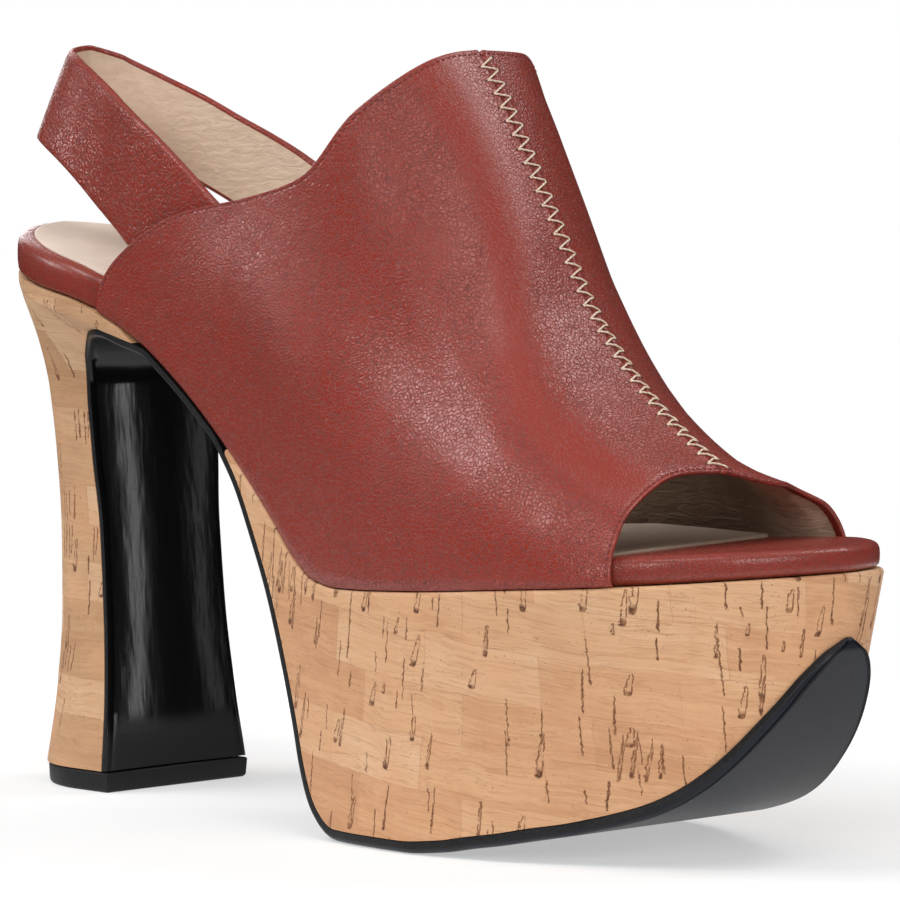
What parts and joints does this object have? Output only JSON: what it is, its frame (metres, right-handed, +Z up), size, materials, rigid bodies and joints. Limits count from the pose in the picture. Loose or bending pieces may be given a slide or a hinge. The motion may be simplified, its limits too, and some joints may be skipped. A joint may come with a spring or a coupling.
{
  "type": "platform slingback shoe",
  "caption": "Right open-toe platform shoe with a leather vamp, a sling strap, a cork-covered platform and high heel, and a black sole that runs from toe to heel.",
  "frame": {"origin": "middle of the shoe's box in plan, on the floor", "axes": "+X to the toe, +Y to the inner side of the foot, +Z up"},
  "size_m": [0.2246, 0.083, 0.158],
  "materials": {
    "tan_leather": "smooth grain, satin",
    "strap_leather": "grained, satin",
    "insole_leather": "smooth grain, satin",
    "platform_cork": "cork sheet, matte",
    "heel_cork": "cork sheet, matte",
    "black_sole": "black, glossy on the heel's front",
    "black_top_piece": "black, matte"
  },
  "bodies": {
    "root": {"outsole": "black_sole", "platform": "platform_cork", "heel": "heel_cork", "top_piece": "black_top_piece", "insole": "insole_leather", "sling_strap": "strap_leather", "upper": "tan_leather"}
  },
  "joints": []
}
